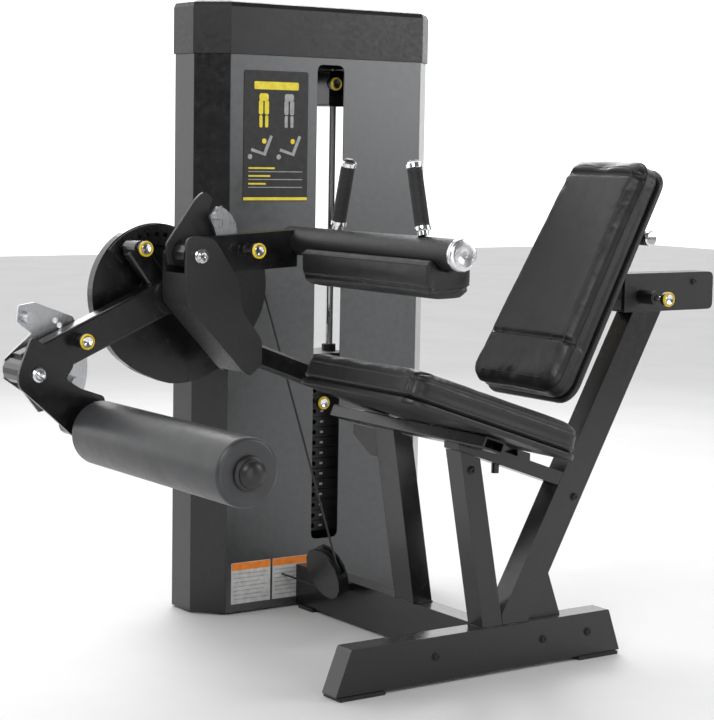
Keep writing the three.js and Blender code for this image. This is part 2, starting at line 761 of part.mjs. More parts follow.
function rollerPad() {
  const { x, z, radius, y0, y1 } = ROLLER;
  const length = y1 - y0;
  return turned(
    V(x, y0, z),
    ALONG_Y,
    [
      [12.4, 0],
      [radius - 6, 0],
      [radius - 1.5, 2],
      [radius, 7],
      [radius, length - 7],
      [radius - 1.5, length - 2],
      [radius - 6, length],
      [12.4, length],
      [12.4, 0],
    ],
    FINE,
  );
}

// ---------------------------------------------------------------- thigh pad
const armZ = (x) => THIGH.z - 1 + (x - THIGH.x) * Math.tan(rad(3));

function thighArm() {
  const arm = plateXZ(
    outline([
      [-318, armZ(-318) - 38],
      [-100, armZ(-100) - 38],
      [-100, armZ(-100) + 38],
      [-318, armZ(-318) + 38],
    ]),
    ARM.y0,
    ARM.y1,
  );
  const barrel = rodY(THIGH.x, THIGH.z, -444.5, -397.5, 33);
  const bush = rodY(THIGH.pinX, THIGH.pinZ, -458, -430, 14);
  return cut(
    join(arm, barrel, bush),
    rodY(THIGH.x, THIGH.z, -500, -300, 10.3),
    rodY(THIGH.pinX, THIGH.pinZ, -500, -300, 5.3),
    rodY(THIGH.tubeX, THIGH.tubeZ, -500, -300, THIGH.tubeRadius + GAP, FINE),
  );
}

const thighBolt = () =>
  turned(V(THIGH.x, KNEE_FRONT.y0 - 9, THIGH.z), ALONG_Y, [
    [0, 0],
    [11, 0],
    [15, 3],
    [15, 9 - GAP],
    [10, 9 - GAP],
    [10, 106],
    [0, 106],
  ]);

// Zinc tab on top of the arm, with its rubber buffer.
function thighTab() {
  const foot = (x) => armZ(x) + 38 + GAP;
  const tab = plateXZ(
    softOutline([
      [-286, foot(-286), 1],
      [-236, foot(-236), 1],
      [-239, 932, 6],
      [-251, 953, 8],
      [-268, 966, 6],
      [-284, 970, 6],
      [-302, 948, 6],
      [-291, 926, 4],
    ]),
    -425,
    -417,
  );
  return join(tab, rodY(-282, 952, -438, -410, 9));
}

const thighTube = () => rodY(THIGH.tubeX, THIGH.tubeZ, -975, -396, THIGH.tubeRadius, FINE);

const thighTubeCap = () =>
  turned(V(THIGH.tubeX, -990, THIGH.tubeZ), ALONG_Y, [
    [0, 3],
    [9, 3],
    [10, 0],
    [24, 0],
    [29, 2],
    [31.5, 5],
    [31.5, 15 - GAP],
    [0, 15 - GAP],
  ]);

function thighPad() {
  const section = softOutline([
    [-135, 838, 14],
    [-110, 813, 18],
    [-50, 813, 18],
    [-25, 838, 14],
    [-27, 888, 10],
    [-133, 888, 10],
  ]);
  const pad = plateXZ(section, -940, -500, 5);
  return cut(pad, rodY(THIGH.tubeX, THIGH.tubeZ, -990, -480, THIGH.tubeRadius + GAP, FINE));
}

// Upright grip on the thigh tube, leaning 15 degrees; a rubber sleeve between two rings.
function thighGrip(y, side) {
  const lean = V(0, side * Math.sin(rad(15)), Math.cos(rad(15)));
  const stick = turned(
    V(THIGH.tubeX, y, THIGH.tubeZ),
    lean,
    [
      [0, 0],
      [11, 0],
      [11, 40],
      [16, 41],
      [16, 50],
      [14.5, 51],
      [14.5, 163],
      [16, 164],
      [16, 173],
      [11, 178],
      [0, 179],
    ],
  );
  return cut(stick, rodY(THIGH.tubeX, THIGH.tubeZ, -1000, -400, THIGH.tubeRadius + GAP, FINE));
}

// ---------------------------------------------------------------- backrest
const padUp = V(Math.sin(rad(RECLINE)), 0, Math.cos(rad(RECLINE)));
const padBack = V(Math.cos(rad(RECLINE)), 0, -Math.sin(rad(RECLINE)));
const padPoint = (along, behind) =>
  V(PAD.x, SEAT_Y, PAD.z).addScaledVector(padUp, along).addScaledVector(padBack, behind);
const padXZ = (along, behind) => [padPoint(along, behind).x, padPoint(along, behind).z];

function backSleeve() {
  const { x0, x1, y0, y1, z0, z1 } = SLEEVE;
  const outer = plateXZ(
    softOutline([
      [x0, z0, 3],
      [x1, z0, 14],
      [x1, z1, 14],
      [x0, z1, 3],
    ]),
    y0,
    y1,
  );
  const hollow = box(x0 - 5, x1 - 8, y0 + 5, y1 - 5, z0 + 5, z1 - 5);
  const collar = rodY(BACK_PIN.x, BACK_PIN.z, y0 - 48, y0 + 2, 15);
  return cut(join(outer, collar), hollow, rodY(BACK_PIN.x, BACK_PIN.z, y0 - 60, y0 + 20, 6.3));
}

// Slide inside the sleeve, with the plate that carries the pad.
function backSlide() {
  const { y0, y1, z0, z1 } = SLEEVE;
  const slide = box(400, 728, y0 + 5 + GAP, y1 - 5 - GAP, z0 + 5 + GAP, z1 - 5 - GAP);
  const behindPad = plateXZ(
    outline([padXZ(-400, PAD.thickness + GAP), padXZ(-400, -400), padXZ(900, -400), padXZ(900, PAD.thickness + GAP)].reverse()),
    -900,
    -500,
  );
  const plate = bar(padPoint(70, PAD.thickness + 6), padPoint(440, PAD.thickness + 6), 110, 11, 2, ALONG_Y);
  const lug = bar(padPoint(407, PAD.thickness + 6), padPoint(407, PAD.thickness + 27), 36, 26, 3, ALONG_Y);
  const holes = [-60, -30, 0, 30].map((dx) => rodY(BACK_PIN.x - dx, BACK_PIN.z, y0, y0 + 20, 6.5, HOLE));
  const gripRoom = rodY(gripCentre.x, gripCentre.z, -900, -500, 13 + GAP);
  return cut(join(cut(slide, behindPad), plate, lug), ...holes, gripRoom);
}

function backPad() {
  const low = PAD.bottomWidth / 2;
  const high = PAD.topWidth / 2;
  const shape = softOutline([
    [-low, 0, 50],
    [low, 0, 50],
    [high, PAD.length, 56],
    [-high, PAD.length, 56],
  ]);
  const options = { depth: PAD.thickness, bevelEnabled: false, curveSegments: 6 };
  const geometry = new THREE.ExtrudeGeometry(shape, options);
  geometry.applyMatrix4(new THREE.Matrix4().makeBasis(ALONG_Y, padUp, padBack));
  geometry.translate(PAD.x, SEAT_Y, PAD.z);
  return solid(geometry);
}

const gripCentre = padPoint(407, PAD.thickness + 29);

const backGripBar = () =>
  turned(
    V(gripCentre.x, SEAT_Y - 122, gripCentre.z),
    ALONG_Y,
    [
      [0, 0],
      [13, 0],
      [16, 3],
      [16, 10],
      [15, 11],
      [15, 96],
      [13, 97],
      [13, 147],
      [15, 148],
      [15, 233],
      [16, 234],
      [16, 241],
      [13, 244],
      [0, 244],
    ],
  );

// ---------------------------------------------------------------- cable and pulleys
const cableFoot = V(FLOOR_PULLEY.x, CABLE_TOP.y, FLOOR_PULLEY.z);
const cableDown = cableFoot.clone().sub(V(CABLE_TOP.x, CABLE_TOP.y, CABLE_TOP.z)).normalize();
const pulleyAxis = ALONG_Y.clone().cross(cableDown).negate().normalize();
const pulleyCentre = V(FLOOR_PULLEY.x, FLOOR_PULLEY.y, FLOOR_PULLEY.z);
const cableRun = pulleyCentre.clone().addScaledVector(cableDown, FLOOR_PULLEY.radius);
const lowPulley = { y: 59, z: cableRun.z + 45, radius: 45 };
const topPulley = { x: (cableRun.x + STACK.x) / 2, z: 1350, radius: (STACK.x - cableRun.x) / 2 };

// Grooved wheel whose cable runs at the given radius.
function pulley(centre, axis, radius, bore) {
  const start = centre.clone().addScaledVector(axis, -8);
  return turned(start, axis, [
    [bore, 0],
    [radius + 3.5, 0],
    [radius + 3.5, 2],
    [radius - CABLE_RADIUS - 2, 5.5],
    [radius - CABLE_RADIUS - 2, 10.5],
    [radius + 3.5, 14],
    [radius + 3.5, 16],
    [bore, 16],
    [bore, 0],
  ]);
}

// Two cheeks joined round the front of the floor pulley, its axle, and the foot on the spine.
function pulleyGuard() {
  const disc = (a, b, r) => {
    const from = pulleyCentre.clone().addScaledVector(pulleyAxis, a);
    return rod(from, pulleyCentre.clone().addScaledVector(pulleyAxis, b), r);
  };
  const shell = cut(disc(-14, 14, 62), disc(-10, 10, 58));
  const above = bar(
    pulleyCentre.clone().addScaledVector(cableDown, -90),
    pulleyCentre.clone().addScaledVector(cableDown, -6),
    20,
    200,
    1,
    pulleyAxis,
  );
  const behind = bar(
    V(pulleyCentre.x, pulleyCentre.y + 60, pulleyCentre.z).addScaledVector(cableDown, -70),
    V(pulleyCentre.x, pulleyCentre.y + 60, pulleyCentre.z).addScaledVector(cableDown, 70),
    20,
    100,
    1,
    pulleyAxis,
  );
  const foot = box(146, 195 - GAP, -236, -194, 84, 101);
  const floor = box(0, 300, -400, 0, -50, 66);
  return join(cut(shell, above, behind, cut(floor, box(0, 300, -400, 0, -60, 64))), cut(foot, disc(-11, 11, 62)), disc(-13, 13, 8));
}

// Cable from the cam, under the floor pulley, back into the tower, up and over to the stem.
function cable() {
  const around = (centre, from, to, radius, a0, a1, steps) =>
    Array.from({ length: steps + 1 }, (_, i) => {
      const a = rad(a0 + ((a1 - a0) * i) / steps);
      return centre
        .clone()
        .addScaledVector(from, radius * Math.cos(a))
        .addScaledVector(to, radius * Math.sin(a));
    });
  const run = V(cableRun.x, lowPulley.y, lowPulley.z);
  const top = V(topPulley.x, ROD.y, topPulley.z);
  const points = [
    V(CABLE_TOP.x, CABLE_TOP.y, CABLE_TOP.z).addScaledVector(cableDown, -78),
    ...around(pulleyCentre, V(0, -1, 0), cableDown, FLOOR_PULLEY.radius, 0, 90, 4),
    ...around(run, V(0, 0, -1), ALONG_Y, lowPulley.radius, 0, 90, 4),
    ...around(top, V(-1, 0, 0), UP, topPulley.radius, 0, 180, 7),
    V(STACK.x, ROD.y, headTop + 30),
  ];
  const pieces = points.slice(1).map((p, i) => {
    const step = p.clone().sub(points[i]).normalize();
    return rod(points[i].clone().addScaledVector(step, -0.7), p.clone().addScaledVector(step, 0.7), CABLE_RADIUS, 6);
  });
  return join(...pieces);
}

// ---------------------------------------------------------------- every node
place("tower_front_panel", towerFront(), greyPaint());
place("tower_left_cover", towerFlank(false), blackPaint());
place("tower_right_cover", towerFlank(true), silverPaint());
place("tower_rear_cover", towerRear(), greyPaint());
place("tower_cap", towerCap(), plastic());
place("tower_base", towerBase(), blackPaint());
place("guide_rod_left", guideRod(-1), chrome());
place("guide_rod_right", guideRod(1), chrome());
place("rod_bridge", rodBridge(), blackPaint());
place("resting_weight_plates", weightPlates(0, STACK.resting), castIron());
place("lifted_weight_plates", weightPlates(STACK.resting, STACK.lifted), castIron());
place("head_plate", headPlate(), castIron());
place("selector_stem", selectorStem(), zinc());
place("selector_pin", pullPin(STACK.x, pinZ, -4, 98), knobPlastic());
place("increment_block", incrementBlock(), blackPaint());
place("increment_pin", pullPin(incrementPin.x, incrementPin.z, 52, 90), knobPlastic());

place("base_spine", baseSpine(), blackPaint());
place("foot_bar", footBar(), blackPaint());
place("foot_left", rubberFoot(-124), rubber());
place("foot_right", rubberFoot(500), rubber());
place("seat_front_post", seatFrontPost(), blackPaint());
place("seat_far_post", seatFarPost(), blackPaint());
place("back_post", backPost(), blackPaint());
place("cross_rail", crossRail(), blackPaint());
place("seat_beam", seatBeam(), blackPaint());
place("seat_pad", seatPad(), vinyl());

place("knee_bracket_front", kneeFront(), wrinklePaint());
place("knee_bracket_rear", kneeRear(), wrinklePaint());
place("knee_beam", kneeBeam(), blackPaint());
place("knee_axle", kneeAxle(), chrome());
place("cam", cam(), blackPaint());
place("cam_index_plate", camIndexPlate(), zinc());
place("cable_on_cam", cableOnCam(), castIron());
place("lever", lever(), blackPaint());
place("start_pin", pullPin(startPin[0], startPin[1], -377, -283), knobPlastic());
place("ankle_pivot", anklePivot(), chrome());
place("ankle_bracket", ankleBracket(), blackPaint());
place("ankle_sector", ankleSector(), zinc());
place("ankle_pin", pullPin(ANKLE.pinX, ANKLE.pinZ, -386, -292.8), knobPlastic());
place("roller_shaft", rollerShaft(), blackPaint());
place("roller_pad", rollerPad(), vinyl());

place("thigh_arm", thighArm(), blackPaint());
place("thigh_bolt", thighBolt(), chrome());
place("thigh_tab", thighTab(), zinc());
place("thigh_tube", thighTube(), wrinklePaint());
place("thigh_tube_cap", thighTubeCap(), zinc());
place("thigh_pad", thighPad(), vinyl());
place("thigh_grip_far", thighGrip(-562, -1), rubber());
place("thigh_grip_near", thighGrip(-870, 1), rubber());
place("thigh_pin", pullPin(THIGH.pinX, THIGH.pinZ, -502, -397.6), knobPlastic());

place("back_sleeve", backSleeve(), wrinklePaint());
place("back_slide", backSlide(), blackPaint());
place("back_pad", backPad(), vinyl());
place("back_grip_bar", backGripBar(), rubber());
place("back_pin", pullPin(BACK_PIN.x, BACK_PIN.z, -825, SLEEVE.y0 + 4.5), knobPlastic());

place("floor_pulley_guard", pulleyGuard(), blackPaint());
place("floor_pulley", pulley(pulleyCentre, pulleyAxis, FLOOR_PULLEY.radius, 8.4), plastic());
place("low_pulley", pulley(V(cableRun.x, lowPulley.y, lowPulley.z), ALONG_X, lowPulley.radius, 7.4), plastic());
place("top_pulley", pulley(V(topPulley.x, ROD.y, topPulley.z), ALONG_Y, topPulley.radius, 7.4), plastic());
place("cable", cable(), castIron());

// ---------------------------------------------------------------- origin under the middle of the machine
const bounds = new THREE.Box3().setFromObject(machine);
const middle = bounds.getCenter(V());
machine.position.set(-middle.x, -middle.y, -bounds.min.z);
const root = new THREE.Group();
root.add(machine);

export default root;
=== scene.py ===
"""Looks of the seated leg curl machine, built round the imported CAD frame. Everything is in metres."""

import json
import math

import bmesh
import bpy
from mathutils import Matrix, Vector
from mathutils.bvhtree import BVHTree


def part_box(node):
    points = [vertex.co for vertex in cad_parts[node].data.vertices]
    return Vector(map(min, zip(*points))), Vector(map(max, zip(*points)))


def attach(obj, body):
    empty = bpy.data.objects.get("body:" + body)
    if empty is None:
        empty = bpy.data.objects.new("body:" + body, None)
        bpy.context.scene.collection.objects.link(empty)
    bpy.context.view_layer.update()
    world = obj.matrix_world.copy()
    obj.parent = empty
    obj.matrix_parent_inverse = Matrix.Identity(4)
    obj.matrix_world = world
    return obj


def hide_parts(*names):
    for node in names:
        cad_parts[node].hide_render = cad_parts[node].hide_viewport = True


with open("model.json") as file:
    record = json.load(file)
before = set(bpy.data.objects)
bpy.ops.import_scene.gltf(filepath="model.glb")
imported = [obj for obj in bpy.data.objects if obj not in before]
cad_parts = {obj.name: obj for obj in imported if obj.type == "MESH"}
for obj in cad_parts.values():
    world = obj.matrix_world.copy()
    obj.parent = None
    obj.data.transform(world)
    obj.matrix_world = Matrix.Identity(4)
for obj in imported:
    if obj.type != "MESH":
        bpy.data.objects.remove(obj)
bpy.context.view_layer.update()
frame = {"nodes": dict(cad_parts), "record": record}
nodes = frame["nodes"]
scene = bpy.context.scene


def at(x, y, z):
    """A point of the machine's own drawing, in millimetres, as a point of the frame."""
    return Vector(((x - 49) / 1000, (y + 402) / 1000, z / 1000))


# ------------------------------------------------------------------ materials
class Look:
    """A node material under construction."""

    def __init__(self, name, color, rough, metal=0.0):
        self.material = bpy.data.materials.new(name)
        self.material.use_nodes = True
        self.tree = self.material.node_tree
        self.shader = self.tree.nodes["Principled BSDF"]
        self.shader.inputs["Base Color"].default_value = (*color, 1)
        self.shader.inputs["Roughness"].default_value = rough
        self.shader.inputs["Metallic"].default_value = metal
        self.material.diffuse_color = (*color, 1)
        self.coords = self.tree.nodes.new("ShaderNodeTexCoord")
        self.height = None

    def link(self, a, b):
        self.tree.links.new(a, b)

    def place(self, scale):
        mapping = self.tree.nodes.new("ShaderNodeMapping")
        mapping.inputs["Scale"].default_value = scale
        self.link(self.coords.outputs["Object"], mapping.inputs["Vector"])
        return mapping.outputs["Vector"]

    def noise(self, scale, detail=4.0, stretch=(1, 1, 1), rough=0.55):
        node = self.tree.nodes.new("ShaderNodeTexNoise")
        node.inputs["Scale"].default_value = scale
        node.inputs["Detail"].default_value = detail
        node.inputs["Roughness"].default_value = rough
        self.link(self.place(stretch), node.inputs["Vector"])
        return node.outputs["Fac"]

    def cells(self, scale, feature="F1"):
        node = self.tree.nodes.new("ShaderNodeTexVoronoi")
        node.feature = feature
        node.inputs["Scale"].default_value = scale
        self.link(self.place((1, 1, 1)), node.inputs["Vector"])
        return node.outputs["Distance"]

    def ramp(self, source, low, high, a=0.35, b=0.65):
        node = self.tree.nodes.new("ShaderNodeValToRGB")
        node.color_ramp.elements[0].position = a
        node.color_ramp.elements[1].position = b
        node.color_ramp.elements[0].color = (*low, 1)
        node.color_ramp.elements[1].color = (*high, 1)
        self.link(source, node.inputs["Fac"])
        return node.outputs["Color"]

    def tint(self, source, low, high, a=0.35, b=0.65):
        self.link(self.ramp(source, low, high, a, b), self.shader.inputs["Base Color"])
        return self

    def gloss(self, source, low, high):
        node = self.tree.nodes.new("ShaderNodeMapRange")
        node.inputs["From Min"].default_value = 0.3
        node.inputs["From Max"].default_value = 0.7
        node.inputs["To Min"].default_value = low
        node.inputs["To Max"].default_value = high
        self.link(source, node.inputs["Value"])
        self.link(node.outputs["Result"], self.shader.inputs["Roughness"])
        return self

    def bump(self, source, strength, distance):
        node = self.tree.nodes.new("ShaderNodeBump")
        node.inputs["Strength"].default_value = strength
        node.inputs["Distance"].default_value = distance
        self.link(source, node.inputs["Height"])
        if self.height:
            self.link(self.height, node.inputs["Normal"])
        self.height = node.outputs["Normal"]
        self.link(self.height, self.shader.inputs["Normal"])
        return self

    def soft_edges(self, radius):
        """Rounds the edges in the shading, as a folded or welded edge is."""
        node = self.tree.nodes.new("ShaderNodeBevel")
        node.samples = 4
        node.inputs["Radius"].default_value = radius
        self.height = node.outputs["Normal"]
        self.link(self.height, self.shader.inputs["Normal"])
        return self

    def set(self, **values):
        for name, value in values.items():
            self.shader.inputs[name.replace("_", " ")].default_value = value
        return self


def powder_coat(name, dark, light, rough, grain, edge=0.0015):
    look = Look(name, dark, rough).soft_edges(edge)
    look.tint(look.noise(60, 5), dark, light)
    look.gloss(look.noise(60, 3), rough - 0.04, rough + 0.06)
    look.bump(look.noise(900, 2), grain, 0.0002)
    return look.set(Coat_Weight=0.25, Coat_Roughness=0.25)


def bare_metal(name, dark, light, rough, stretch, grain=0.05):
    look = Look(name, light, rough, 1.0).soft_edges(0.0006)
    look.tint(look.noise(420, 4, stretch), dark, light, 0.2, 0.8)
    look.gloss(look.noise(300, 4, stretch), rough * 0.8, rough * 1.25)
    return look.bump(look.noise(700, 3, stretch), grain, 0.0001)


def moulded(name, dark, light, rough, grain=0.25, scale=1400):
    look = Look(name, dark, rough).soft_edges(0.001)
    look.tint(look.noise(14, 4), dark, light)
    look.gloss(look.noise(90, 3), rough - 0.06, rough + 0.08)
    return look.bump(look.noise(scale, 2), grain, 0.00025)


def upholstery(name, dark, light, rough):
    look = Look(name, dark, rough)
    look.tint(look.noise(11, 6), dark, light, 0.3, 0.75)
    look.gloss(look.noise(36, 4), rough - 0.07, rough + 0.1)
    look.bump(look.noise(26, 5), 0.25, 0.0022)
    look.bump(look.cells(520, "DISTANCE_TO_EDGE"), 0.35, 0.0003)
    return look.set(Specular_IOR_Level=0.45, Sheen_Weight=0.06)


def wrinkle_coat():
    look = Look("wrinkle_black", (0.008, 0.008, 0.009), 0.42).soft_edges(0.0015)
    look.tint(look.noise(420, 3), (0.004, 0.004, 0.0045), (0.014, 0.014, 0.015))
    look.gloss(look.noise(200, 3), 0.3, 0.52)
    return look.bump(look.noise(620, 4, rough=0.7), 0.75, 0.0008)


def foam_skin():
    look = Look("roller_foam", (0.05, 0.052, 0.055), 0.5)
    look.tint(look.noise(16, 5), (0.03, 0.031, 0.033), (0.04, 0.041, 0.044))
    look.gloss(look.noise(48, 4), 0.33, 0.42)
    look.bump(look.noise(18, 3), 0.05, 0.001)
    return look.bump(look.cells(900), 0.25, 0.0003)


def printed(name, dark, light):
    look = Look(name, light, 0.5)
    look.tint(look.noise(60, 3), dark, light)
    return look.bump(look.noise(400, 2), 0.05, 0.0001)


LOOKS = {
    "black_paint": powder_coat("black_paint", (0.004, 0.004, 0.0045), (0.007, 0.007, 0.008), 0.22, 0.06),
    "wrinkle_black": wrinkle_coat(),
    "grey_paint": powder_coat(
        "grey_paint", (0.105, 0.107, 0.11), (0.12, 0.122, 0.125), 0.34, 0.03
    ).set(Metallic=0.75),
    "silver_paint": powder_coat("silver_paint", (0.4, 0.41, 0.42), (0.44, 0.45, 0.46), 0.38, 0.05),
    "black_plastic": moulded("black_plastic", (0.007, 0.007, 0.0075), (0.012, 0.012, 0.013), 0.36),
    "chrome": bare_metal("chrome", (0.62, 0.63, 0.65), (0.86, 0.87, 0.88), 0.1, (1, 1, 0.2), 0.02),
    "zinc": bare_metal("zinc", (0.5, 0.51, 0.53), (0.62, 0.63, 0.65), 0.3, (1, 1, 0.15), 0.03),
    "aluminium": bare_metal("aluminium", (0.66, 0.66, 0.68), (0.8, 0.8, 0.82), 0.22, (1, 0.1, 1), 0.04),
    "vinyl": upholstery("vinyl", (0.005, 0.005, 0.0053), (0.01, 0.01, 0.0105), 0.4),
    "roller_foam": foam_skin(),
    "rubber": moulded("rubber", (0.006, 0.006, 0.006), (0.011, 0.011, 0.011), 0.55, 0.5, 700),
    "cast_iron": moulded("cast_iron", (0.008, 0.008, 0.009), (0.019, 0.019, 0.02), 0.5, 0.5, 500),
    "knob": moulded("knob", (0.68, 0.46, 0.012), (0.9, 0.66, 0.03), 0.3, 0.1, 900),
    "cable": moulded("cable", (0.008, 0.008, 0.008), (0.018, 0.018, 0.018), 0.4, 0.4, 1500),
}
MATERIALS = {name: look.material for name, look in LOOKS.items()}
EXTRA = {
    "label_white": printed("label_white", (0.5, 0.5, 0.49), (0.62, 0.62, 0.61)).material,
    "label_orange": printed("label_orange", (0.78, 0.2, 0.02), (0.9, 0.27, 0.03)).material,
    "label_dark": printed("label_dark", (0.012, 0.012, 0.013), (0.022, 0.022, 0.024)).material,
    "label_grey": printed("label_grey", (0.3, 0.3, 0.31), (0.42, 0.42, 0.43)).material,
    "label_yellow": printed("label_yellow", (0.75, 0.6, 0.03), (0.9, 0.74, 0.05)).material,
    "plate_dark": bare_metal(
        "plate_dark", (0.07, 0.072, 0.076), (0.11, 0.112, 0.118), 0.3, (1, 1, 0.3), 0.03
    ).material,
    # Seam and piping bead colour, four times lighter than the vinyl: a painted highlight along the seams. The
    # beads themselves are real geometry.
    "seam_painted_highlight": upholstery("seam_painted_highlight", (0.02, 0.02, 0.021), (0.04, 0.04, 0.042), 0.6).material,
}
MATERIALS.update(EXTRA)

SLOT_OF = {entry["node"]: entry["material_slot"] for entry in frame["record"]["subparts"]}


def smooth(mesh, degrees=32):
    """Smooth faces with sharp edges where the surface turns by more than the angle."""
    for polygon in mesh.polygons:
        polygon.use_smooth = True
    mesh.set_sharp_from_angle(angle=math.radians(degrees))


for name, node in nodes.items():
    node.data.materials.clear()
    node.data.materials.append(MATERIALS["plate_dark" if name == "cam_index_plate" else SLOT_OF[name]])


# ------------------------------------------------------------------ mesh tools
def add(name, mesh, body, slot, replaces=(), materials=()):
    """Puts a mesh in the scene as a piece of the machine."""
    piece = bpy.data.objects.new(name, mesh)
    scene.collection.objects.link(piece)
    for material in materials or (slot,):
        mesh.materials.append(MATERIALS[material])
    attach(piece, body)
    if replaces:
        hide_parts(*replaces)
    return piece


def finish_mesh(bm, name, degrees=32):
    bmesh.ops.recalc_face_normals(bm, faces=bm.faces)
    mesh = bpy.data.meshes.new(name)
    bm.to_mesh(mesh)
    bm.free()
    smooth(mesh, degrees)
    return mesh


def lathe(name, start, direction, profile, sides=48):
    """A turned mesh: profile points are (radius, distance, material index) in millimetres."""
    bm = bmesh.new()
    turn = Vector((0, 0, 1)).rotation_difference(direction).to_matrix()
    rings = []
    for radius, distance, _ in profile:
        if radius < 1e-6:
            rings.append([bm.verts.new(start + turn @ Vector((0, 0, distance / 1000)))])
            continue
        ring = []
        for i in range(sides):
            a = 2 * math.pi * i / sides
            local = Vector((radius * math.cos(a), radius * math.sin(a), distance)) / 1000
            ring.append(bm.verts.new(start + turn @ local))
        rings.append(ring)
    for (a, b), (_, _, index) in zip(zip(rings, rings[1:]), profile[1:]):
        for i in range(sides):
            j = (i + 1) % sides
            corners = [a[i % len(a)], a[j % len(a)], b[j % len(b)], b[i % len(b)]]
            unique = list(dict.fromkeys(corners))
            if len(unique) > 2:
                bm.faces.new(unique).material_index = index
    return finish_mesh(bm, name, 28)


def prism(name, outline, depth, origin, u, v, w, bevel=0.0, segments=3):
    """A plate: outline in (u, v) millimetres, raised by depth along w, edges rounded."""
    bm = bmesh.new()
    low = [bm.verts.new(origin + u * (a / 1000) + v * (b / 1000)) for a, b in outline]
    face = bm.faces.new(low)
    made = bmesh.ops.extrude_face_region(bm, geom=[face])
    top = [g for g in made["geom"] if isinstance(g, bmesh.types.BMVert)]
    bmesh.ops.translate(bm, verts=top, vec=w * (depth / 1000))
    if bevel:
        bmesh.ops.bevel(
            bm, geom=bm.edges[:], offset=bevel / 1000, segments=segments, affect="EDGES", profile=0.5
        )
    return finish_mesh(bm, name)


def rounded(a0, a1, b0, b1, r, steps=5):
    """A rectangle with round corners, as points."""
    points = []
    corners = ((a1 - r, b0 + r, -90), (a1 - r, b1 - r, 0), (a0 + r, b1 - r, 90), (a0 + r, b0 + r, 180))
    for cx, cy, turn in corners:
        for i in range(steps + 1):
            a = math.radians(turn + 90 * i / steps)
            points.append((cx + r * math.cos(a), cy + r * math.sin(a)))
    return points


def tube(name, points, radius, cyclic=False):
    """A round cord or bead along points, as a mesh."""
    curve = bpy.data.curves.new(name, "CURVE")
    curve.dimensions = "3D"
    curve.bevel_depth = radius / 1000
    curve.bevel_resolution = 2
    spline = curve.splines.new("POLY")
    spline.points.add(len(points) - 1)
    for target, p in zip(spline.points, points):
        target.co = (*p, 1)
    spline.use_cyclic_u = cyclic
    holder = bpy.data.objects.new(name, curve)
    scene.collection.objects.link(holder)
    mesh = bpy.data.meshes.new_from_object(holder.evaluated_get(bpy.context.evaluated_depsgraph_get()))
    bpy.data.objects.remove(holder)
    smooth(mesh, 60)
    return mesh


X, Y, Z = Vector((1, 0, 0)), Vector((0, 1, 0)), Vector((0, 0, 1))

SEAT_SLOPE = math.radians(18.6)  # the seat falls towards the back pad
BACK_TILT = math.radians(29.6)  # the back pad leans from the vertical
GRIP_LEAN = math.radians(15)  # the thigh pad's grips lean apart
PAD_CAP = 0.007  # the furthest a point of a seat or back pad may swell
GLUED = 0.022  # height over which a pad goes from held to free
TUBE_X, TUBE_Z, SADDLE = -88, 897, 32  # thigh tube's axis, and the pad's hollow round it
START_ANGLE, START_RADIUS = math.radians(127), 122  # start pin about the knee axis
STACK_BOTTOM, PLATE_PITCH, RESTING, PLATES = 168.3, 25.4, 12, 17


# ------------------------------------------------------------------ cushions
def remeshed(mesh, voxel):
    holder = bpy.data.objects.new("pad_blank", mesh)
    scene.collection.objects.link(holder)
    modifier = holder.modifiers.new("Remesh", "REMESH")
    modifier.mode = "VOXEL"
    modifier.voxel_size = voxel
    made = bpy.data.meshes.new_from_object(holder.evaluated_get(bpy.context.evaluated_depsgraph_get()))
    bpy.data.objects.remove(holder)
    return made


def inflated(mesh, pressure, cap, hold):
    """Swells a pad by cloth simulation. hold(point) is 0 where it is glued down and 1 where it is free."""
    rest = [v.co.copy() for v in mesh.vertices]
    holder = bpy.data.objects.new("pad_cloth", mesh)
    scene.collection.objects.link(holder)
    cloth = holder.modifiers.new("Cloth", "CLOTH")
    cloth.settings.use_pressure = True
    cloth.settings.uniform_pressure_force = pressure
    cloth.settings.quality = 5
    cloth.settings.effector_weights.gravity = 0
    cloth.point_cache.frame_start = 1
    cloth.point_cache.frame_end = 20
    for f in range(1, 21):
        scene.frame_set(f)
    solved = holder.evaluated_get(bpy.context.evaluated_depsgraph_get()).to_mesh()
    moved = [v.co.copy() for v in solved.vertices]
    holder.modifiers.clear()
    scene.frame_set(1)
    for v, a, b in zip(mesh.vertices, rest, moved):
        step = b - a
        if step.length > cap:
            step *= cap / step.length
        v.co = a + step * hold(a)
    subdivision = holder.modifiers.new("Subdivision", "SUBSURF")
    subdivision.levels = 1
    made = bpy.data.meshes.new_from_object(holder.evaluated_get(bpy.context.evaluated_depsgraph_get()))
    bpy.data.objects.remove(holder)
    smooth(made, 80)
    return made


def groove(mesh, point, normal, depth, width, only):
    """Presses a sewn channel into the surface along a plane, where only(point, surface normal) says so."""
    bm = bmesh.new()
    bm.from_mesh(mesh)
    bm.normal_update()
    for v in bm.verts:
        d = (v.co - point).dot(normal)
        share = only(v.co, v.normal)
        if abs(d) < width * 3 and share > 0:
            v.co -= v.normal * depth * share * math.exp(-((d / width) ** 2))
    bm.to_mesh(mesh)
    bm.free()


def on_surface(mesh, points, lift):
    tree = BVHTree.FromPolygons([v.co for v in mesh.vertices], [p.vertices for p in mesh.polygons])
    out = []
    for p in points:
        hit, normal, _, _ = tree.find_nearest(p)
        out.append(hit + normal * lift)
    return out


def dense(points, step=0.006, cyclic=True):
    """Points put in along a path, so a bead laid on a surface follows it."""
    out = []
    pairs = list(zip(points, points[1:] + points[:1])) if cyclic else list(zip(points, points[1:]))
    for a, b in pairs:
        n = max(1, int((b - a).length / step))
        out += [a.lerp(b, i / n) for i in range(n)]
    return out if cyclic else out + [points[-1]]


